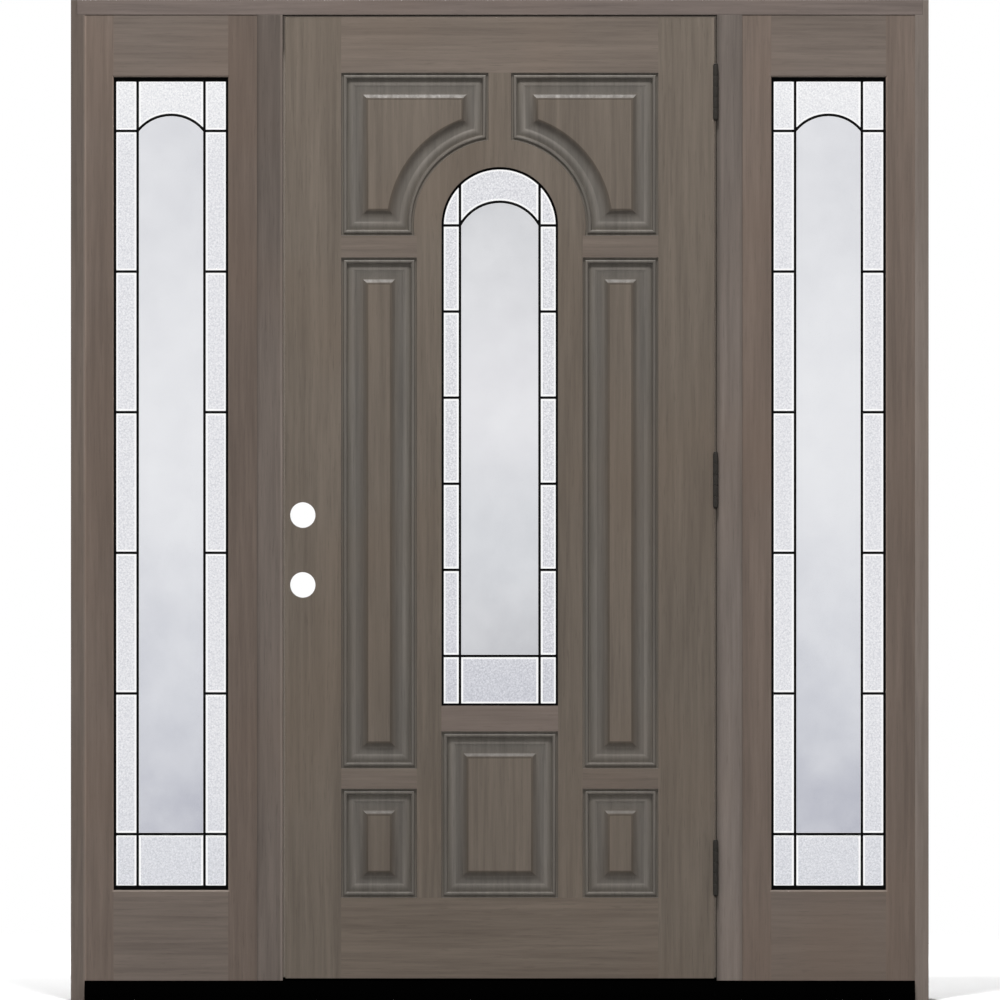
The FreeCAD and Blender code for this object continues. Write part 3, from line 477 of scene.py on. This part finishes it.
# Leaf frame
# Fir stiles and rails glued edge to edge, stained like the frame, and a bead that holds the glass.
# The arched rail and its upright are cut from boards with the grain upright.
leaf_upright = stained_wood("stained fir, leaf uprights", "Z", "#6b6259", shift=41.9)
leaf_level = stained_wood("stained fir, leaf rails", "X", "#6f655d", shift=43.7)
leaf_middle = stained_wood("stained fir, middle rail", "X", "#746962", shift=45.3)
leaf_foot = stained_wood("stained fir, bottom rail", "X", "#6b6158", shift=47.1)
dress(["door_hinge_stile", "door_latch_stile", "door_inner_stiles"], leaf_upright)
dress(["door_arch_rail", "door_glazing_bead"], leaf_upright)
dress(["door_top_rail", "door_cross_rails"], leaf_level)
dress(["door_mid_rail"], leaf_middle)
dress(["door_bottom_rail"], leaf_foot)

# Raised panels
# Each is one fir board, moulded alike on both faces and seated between the stiles and rails: a quirk and
# bead, a groove, a low band, and a field raised on a long ogee. The stain lies greyer in the moulding
# and is wiped thin on the bead and the band; painted shade darkens the quirk, the groove and the field's
# edge.
LEAF_FRONT = -0.0565
LEAF_BACK = -0.012
ARCH_RADIUS = 0.1815
ARCH_CENTRE_Z = 1.636
ARCH_STEPS = 40
# Places in the moulding: inset from the panel's edge and depth below the leaf's face
RIM = (0.0, 0.0)
WALL_FOOT = (0.0009, 0.0042)
QUIRK = (0.0044, 0.0048)
BEAD_CREST = (0.0084, 0.0012)
BEAD_SHOULDER = (0.0120, 0.0046)
GROOVE = ((0.0128, 0.0078), (0.0150, 0.0084))
BAND_RISE = ((0.0168, 0.0079), (0.0193, 0.0074), (0.0218, 0.0070), (0.0243, 0.0068))
BAND_FALL = ((0.0264, 0.0071), (0.0280, 0.0078), (0.0294, 0.0084))
BAND_TOE = (0.0308, 0.0087)
VALLEY = (0.0330, 0.0088)
FIELD_EDGE = (0.0565, 0.0013)
FIELD = ((0.0575, 0.0012), (0.0590, 0.0012))
BEAD_STEPS = 5
OGEE_STEPS = 12
OGEE_LEAN = 1.6
# How much of the wood's red, green and blue the stain, and the painted shade in the quirk, the groove and
# at the field's edge, leave at each place
STAIN_AND_SHADE = "stain"
ON_FIELD = (1.0, 1.0, 1.0)
IN_MOULDING = (0.84, 0.92, 1.0)
SHADE_IN_QUIRK = (0.80, 0.85, 0.88)
SHADE_IN_GROOVE = (0.70, 0.75, 0.78)
SHADE_AT_FIELD_EDGE = (0.58, 0.565, 0.54)
ON_BEAD = (0.89, 0.97, 1.04)
ON_BAND = (1.05, 1.15, 1.25)


def quarter(start, end, steps, steep_first):
    """Points from start to end on a quarter of an oval, steep at one end and level at the other."""
    points = []
    for i in range(1, steps + 1):
        turn = i / steps * math.pi / 2
        run = 1 - math.cos(turn) if steep_first else math.sin(turn)
        drop = math.sin(turn) if steep_first else 1 - math.cos(turn)
        points.append((start[0] + (end[0] - start[0]) * run, start[1] + (end[1] - start[1]) * drop))
    return points


def blend(start, end, share):
    return tuple(a + (b - a) * share for a, b in zip(start, end))


def moulding():
    """Insets from the panel's edge, depths below the leaf's face and the stain and painted shade there."""
    points = [(*RIM, IN_MOULDING), (*WALL_FOOT, SHADE_IN_QUIRK), (*QUIRK, SHADE_IN_QUIRK)]
    points += [(*point, ON_BEAD) for point in quarter(QUIRK, BEAD_CREST, BEAD_STEPS, True)]
    points += [(*point, ON_BEAD) for point in quarter(BEAD_CREST, BEAD_SHOULDER, BEAD_STEPS, False)]
    points += [(*point, SHADE_IN_GROOVE) for point in GROOVE]
    for number, point in enumerate(BAND_RISE, start=1):
        points.append((*point, blend(SHADE_IN_GROOVE, ON_BAND, number / len(BAND_RISE))))
    points += [(*point, ON_BAND) for point in BAND_FALL]
    points += [(*BAND_TOE, IN_MOULDING), (*VALLEY, IN_MOULDING)]
    for i in range(1, OGEE_STEPS + 1):
        share = i / OGEE_STEPS
        lean = share ** OGEE_LEAN
        rise = lean * lean * (3 - 2 * lean)
        inset = VALLEY[0] + (FIELD_EDGE[0] - VALLEY[0]) * share
        depth = VALLEY[1] + (FIELD_EDGE[1] - VALLEY[1]) * rise
        points.append((inset, depth, blend(IN_MOULDING, SHADE_AT_FIELD_EDGE, lean)))
    points += [(*point, ON_FIELD) for point in FIELD]
    return points


def panel_ring(shape, sides, inset, y, arched):
    """One closed ring of points round the panel, inset from its edge."""
    left, right, bottom, top = sides
    left += inset
    right -= inset
    bottom += inset
    top -= inset
    if not arched:
        corners = ((left, bottom), (left, top), (right, top), (right, bottom))
        return [shape.verts.new((x, y, z)) for x, z in corners]
    radius = ARCH_RADIUS + inset
    high = math.sqrt(radius ** 2 - right ** 2)
    low = -math.sqrt(radius ** 2 - (bottom - ARCH_CENTRE_Z) ** 2)
    start = math.atan2(high, right)
    sweep = math.atan2(bottom - ARCH_CENTRE_Z, low) % (2 * math.pi) - start
    ring = [shape.verts.new((x, y, z)) for x, z in ((left, bottom), (left, top), (right, top))]
    for i in range(ARCH_STEPS + 1):
        turn = start + sweep * i / ARCH_STEPS
        ring.append(shape.verts.new((radius * math.cos(turn), y, ARCH_CENTRE_Z + radius * math.sin(turn))))
    return ring


def raised_panel(shape, sides, arched):
    """One board: rings from the back field out to the rim and in again to the front field.
    The rings are joined point by point, as the curved side grows shorter from ring to ring."""
    stain_and_shade_layer = shape.verts.layers.float_color[STAIN_AND_SHADE]
    profile = moulding()
    stations = [(inset, LEAF_BACK - depth, stain) for inset, depth, stain in reversed(profile)]
    stations += [(inset, LEAF_FRONT + depth, stain) for inset, depth, stain in profile]
    rings = []
    for inset, y, stain in stations:
        rings.append(panel_ring(shape, sides, inset, y, arched))
        for vert in rings[-1]:
            vert[stain_and_shade_layer] = (*stain, 1.0)
    for near, far in zip(rings, rings[1:]):
        for i in range(len(near)):
            shape.faces.new((near[i - 1], near[i], far[i], far[i - 1]))
    shape.faces.new(rings[0])
    shape.faces.new(rings[-1])


SMOOTH_BELOW = math.radians(32)


def add_piece(name, shape, material, body):
    """Makes an object of the shape that rides on a body of the frame."""
    mesh = bpy.data.meshes.new(name)
    shape.to_mesh(mesh)
    shape.free()
    mesh.shade_smooth()
    mesh.set_sharp_from_angle(angle=SMOOTH_BELOW)
    mesh.materials.append(material)
    piece = bpy.data.objects.new(name, mesh)
    bpy.context.scene.collection.objects.link(piece)
    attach(piece, body)
    return piece


# Left, right, bottom and top of each panel; those at the left are mirrored to the right
OUTER_SIDE = -0.3345
NARROW_SIDE = -0.175
FOOT = 0.217
TOP_PANEL = (OUTER_SIDE, -0.024, 1.614, 1.958)
TALL_PANEL = (OUTER_SIDE, NARROW_SIDE, 0.490, 1.568)
LOW_PANEL = (OUTER_SIDE, NARROW_SIDE, FOOT, 0.447)
CENTRE_PANEL = (-0.123, 0.123, FOOT, 0.568)
panel_wood = stained_wood("stained fir, panels", "Z", "#696057", shift=53.3,
                          shine=0.2, gloss=0.36, stain_and_shade_attribute=STAIN_AND_SHADE)
panels = bmesh.new()
panels.verts.layers.float_color.new(STAIN_AND_SHADE)
raised_panel(panels, TOP_PANEL, True)
raised_panel(panels, TALL_PANEL, False)
raised_panel(panels, LOW_PANEL, False)
left_panels = panels.verts[:] + panels.edges[:] + panels.faces[:]
bmesh.ops.mirror(panels, geom=left_panels, merge_dist=-1, axis="X")
raised_panel(panels, CENTRE_PANEL, False)
bmesh.ops.recalc_face_normals(panels, faces=panels.faces)
leaf_panels = add_piece("leaf_panels", panels, panel_wood, "door_leaf")
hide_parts("door_panels")

# Leaf glass and cames
# Clear float glass, rolled border panes and blackened zinc cames, made as in the sidelights
# but with an arched head, and held in the leaf's rabbet by its bead.
leaf_clear = float_glass(
    "clear float glass, leaf", low=0.73, high=1.69,
    stops=[(0.0, "#bfc0c5"), (0.25, "#ced0d5"), (0.55, "#dfdfe3"), (1.0, "#cbccd0")])
leaf_textured = textured_glass(
    "granular rolled glass, leaf", dark="#cccdd3", light="#f1f1f4", low=0.64, high=1.7,
    stops=[(0.0, "#e9eaee"), (0.15, "#f6f6f8"), (0.5, "#ffffff"), (1.0, "#ffffff")])
bevelled_panes("door_border_panes", "door_leaf", BORDER_BEVEL, leaf_textured)
bevelled_panes("door_center_pane", "door_leaf", CLEAR_BEVEL, leaf_clear)
dress(["door_came"], came_black)

# Hinges
# Steel butt hinges, oil-blackened: five rolled knuckles on a pin with domed tips,
# and plates with countersunk screws, let into the leaf's edge and the post.
PIN_X = 0.45525
PIN_Y = -0.0655
HINGE_MIDDLES = (1.917, 1.098, 0.280)
HINGE_HEIGHT = 0.114
KNUCKLES = 5
KNUCKLE_RADIUS = 0.0055
KNUCKLE_GAP = 0.0004
KNUCKLE_EASE = 0.0004
TIP_RADIUS = 0.0046
TIP_HEIGHT = 0.0026
TIP_EASE = 0.00117
FRAME_PLATE = (0.458, 0.4605)
FRAME_FRONT = -0.058
LEAF_PLATE = (0.450, 0.4525)
PLATE_BACK = -0.0205
PLATE_EASE = 0.0003
SCREW_RADIUS = 0.0042
SCREW_PROUD = 0.0004
SCREW_DROPS = (-0.042, -0.014, 0.014, 0.042)
SCREW_DEPTHS = (0.012, 0.022)
ROD_SIDES = 32
MOTTLE = 0.004


def hinge_steel():
    """Steel blackened in hot oil: the eye sees a dark, softly mottled metal with a dull sheen."""
    material, tree, shader = new_material("oil-blackened steel")
    place = add_node(tree, "ShaderNodeTexCoord", {}).outputs["Object"]
    mottle = add_node(tree, "ShaderNodeTexNoise", {"Vector": place, "Scale": 1 / MOTTLE, "Detail": 4.0})
    tone = add_node(tree, "ShaderNodeMix", {
        "Factor": mottle.outputs["Fac"], 6: linear("#1e1c1a"), 7: linear("#383531"),
    }, data_type="RGBA")
    tree.links.new(tone.outputs[2], shader.inputs["Base Color"])
    shader.inputs["Roughness"].default_value = 0.45
    shader.inputs["Specular IOR Level"].default_value = 0.15
    return material


def rod(shape, radius, length, matrix, ease):
    """A round bar along Z with eased ends, placed by the matrix."""
    made = bmesh.ops.create_cone(shape, cap_ends=True, segments=ROD_SIDES, radius1=radius, radius2=radius,
                                 depth=length, matrix=matrix)["verts"]
    caps = {face for vert in made for face in vert.link_faces if len(face.verts) == ROD_SIDES}
    rims = {edge for face in caps for edge in face.edges}
    bmesh.ops.bevel(shape, geom=list(rims), offset=ease, affect="EDGES",
                    segments=3, profile=0.5, material=-1)


def slab(shape, low, high, ease):
    """A flat bar between two corners with eased edges."""
    spans = [b - a for a, b in zip(low, high)]
    middle = [(a + b) / 2 for a, b in zip(low, high)]
    made = bmesh.ops.create_cube(shape, size=1.0, matrix=Matrix.LocRotScale(middle, None, spans))["verts"]
    edges = {edge for vert in made for edge in vert.link_edges}
    bmesh.ops.bevel(shape, geom=list(edges), offset=ease, affect="EDGES",
                    segments=1, profile=0.5, material=-1)


def hinge_half(shape, middle, plate_x, front, own_knuckles, screw_face):
    """One plate, its knuckles and the screws in the face that meets the other plate."""
    low_x, high_x = plate_x
    foot = middle - HINGE_HEIGHT / 2
    step = HINGE_HEIGHT / KNUCKLES
    slab(shape, (low_x, front, foot), (high_x, PLATE_BACK, foot + HINGE_HEIGHT), PLATE_EASE)
    for number in own_knuckles:
        low = foot + step * number + KNUCKLE_GAP / 2
        high = low + step - KNUCKLE_GAP
        slab(shape, (low_x, PIN_Y, low), (high_x, front, high), PLATE_EASE)
        centre = Matrix.Translation((PIN_X, PIN_Y, (low + high) / 2))
        rod(shape, KNUCKLE_RADIUS, high - low, centre, KNUCKLE_EASE)
    sideways = Matrix.Rotation(math.pi / 2, 4, "Y")
    for number, drop in enumerate(SCREW_DROPS):
        depth = SCREW_DEPTHS[number % len(SCREW_DEPTHS)]
        place = Matrix.Translation((screw_face, front + depth, middle + drop))
        rod(shape, SCREW_RADIUS, SCREW_PROUD * 2, place @ sideways, SCREW_PROUD / 2)


steel = hinge_steel()
frame_halves = bmesh.new()
leaf_halves = bmesh.new()
for middle in HINGE_MIDDLES:
    hinge_half(frame_halves, middle, FRAME_PLATE, FRAME_FRONT, range(0, KNUCKLES, 2), FRAME_PLATE[0])
    hinge_half(leaf_halves, middle, LEAF_PLATE, LEAF_FRONT, range(1, KNUCKLES, 2), LEAF_PLATE[1])
    for end in (-1, 1):
        tip = Matrix.Translation((PIN_X, PIN_Y, middle + end * (HINGE_HEIGHT + TIP_HEIGHT) / 2))
        rod(frame_halves, TIP_RADIUS, TIP_HEIGHT, tip, TIP_EASE)
frame_plates = add_piece("hinge_frame_plates", frame_halves, steel, "frame")
leaf_plates = add_piece("hinge_leaf_plates", leaf_halves, steel, "door_leaf")
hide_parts("hinge_frame_halves")
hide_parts("hinge_leaf_halves")

# Floor
# A plain pale disc under the door, a little paler to the camera than to the light it throws back.
# It fades out towards its rim, so that no edge shows.
FLOOR_RADIUS = 4.0
FADE_START = 1.8
FADE_END = 3.8
floor_shape = bmesh.new()
bmesh.ops.create_circle(floor_shape, cap_ends=True, segments=96, radius=FLOOR_RADIUS)
floor_mesh = bpy.data.meshes.new("floor")
floor_shape.to_mesh(floor_mesh)
floor_shape.free()
floor = bpy.data.objects.new("floor", floor_mesh)
bpy.context.scene.collection.objects.link(floor)
floor_material, floor_tree, floor_shader = new_material("pale floor")
path = add_node(floor_tree, "ShaderNodeLightPath", {})
floor_tone = add_node(floor_tree, "ShaderNodeMix", {
    "Factor": path.outputs["Is Camera Ray"], 6: linear("#c4c4c4"), 7: linear("#f0f0f0"),
}, data_type="RGBA")
floor_tree.links.new(floor_tone.outputs[2], floor_shader.inputs["Base Color"])
floor_shader.inputs["Roughness"].default_value = 0.9
floor_shader.inputs["Specular IOR Level"].default_value = 0.0
floor_place = add_node(floor_tree, "ShaderNodeTexCoord", {}).outputs["Object"]
reach = add_node(floor_tree, "ShaderNodeVectorMath", {0: floor_place}, operation="LENGTH")
fade = add_node(floor_tree, "ShaderNodeMapRange", {
    "Value": reach.outputs["Value"], "From Min": FADE_START, "From Max": FADE_END,
}, interpolation_type="SMOOTHSTEP")
clear = add_node(floor_tree, "ShaderNodeBsdfTransparent", {})
faded = add_node(floor_tree, "ShaderNodeMixShader", {
    0: fade.outputs[0], 1: floor_shader.outputs[0], 2: clear.outputs[0],
})
floor_tree.links.new(faded.outputs[0], floor_tree.nodes["Material Output"].inputs["Surface"])
floor_mesh.materials.append(floor_material)

# Light
# A soft box high in front of the door, another behind it, a weak lamp by the camera that reaches into
# the gaps, and an even fill. The world is white where it is seen, through glass and in a gloss too.
FILL = 0.22
AIM = Vector((0.0, 0.0, 1.05))


def area_light(name, place, width, height, watts):
    lamp = bpy.data.lights.new(name, "AREA")
    lamp.shape = "RECTANGLE"
    lamp.size = width
    lamp.size_y = height
    lamp.energy = watts
    light = bpy.data.objects.new(name, lamp)
    light.location = place
    aim = AIM - light.location
    light.rotation_euler = aim.to_track_quat("-Z", "Y").to_euler()
    bpy.context.scene.collection.objects.link(light)
    return light


area_light("overhead softbox", place=(-0.15, -2.66, 6.6), width=0.6, height=1.0, watts=405)
area_light("softbox behind", place=(-0.8, 4.4, 5.2), width=1.6, height=1.0, watts=430)
lamp_by_camera = area_light("lamp by the camera", place=(0.0, -22.5, 1.95),
                            width=0.8, height=0.8, watts=760)
lamp_by_camera.visible_camera = False
lamp_by_camera.visible_glossy = False
lamp_by_camera.visible_transmission = False

world = bpy.data.worlds.new("studio")
world.use_nodes = True
bpy.context.scene.world = world
sky = world.node_tree
rays = add_node(sky, "ShaderNodeLightPath", {})
seen = add_node(sky, "ShaderNodeMath", {
    0: rays.outputs["Is Camera Ray"], 1: rays.outputs["Is Transmission Ray"],
}, operation="MAXIMUM")
bare = add_node(sky, "ShaderNodeMath", {
    0: seen.outputs[0], 1: rays.outputs["Is Glossy Ray"],
}, operation="MAXIMUM")
fill = add_node(sky, "ShaderNodeBackground", {"Color": linear("#ffffff"), "Strength": FILL})
white = add_node(sky, "ShaderNodeBackground", {"Color": linear("#ffffff"), "Strength": 1.0})
shown = add_node(sky, "ShaderNodeMixShader", {0: bare.outputs[0], 1: fill.outputs[0], 2: white.outputs[0]})
sky.links.new(shown.outputs[0], sky.nodes["World Output"].inputs["Surface"])

# Camera
# Straight on with a long lens, from far enough away that the door shows as an elevation.
# Sizes are in metres.
SENSOR = 0.036
LENS = 0.4
MILLIMETRES = 1000
VIEW_WIDTH = 2.11
VIEW_CENTRE = (0.0005, 1.0563)
camera_data = bpy.data.cameras.new("camera")
camera_data.lens = LENS * MILLIMETRES
camera_data.sensor_width = SENSOR * MILLIMETRES
camera_data.clip_end = 200
camera = bpy.data.objects.new("camera", camera_data)
camera.location = (VIEW_CENTRE[0], FRAME_FRONT - VIEW_WIDTH * LENS / SENSOR, VIEW_CENTRE[1])
camera.rotation_euler = (math.pi / 2, 0, 0)
bpy.context.scene.collection.objects.link(camera)
bpy.context.scene.camera = camera
bpy.context.scene.view_settings.view_transform = "Standard"
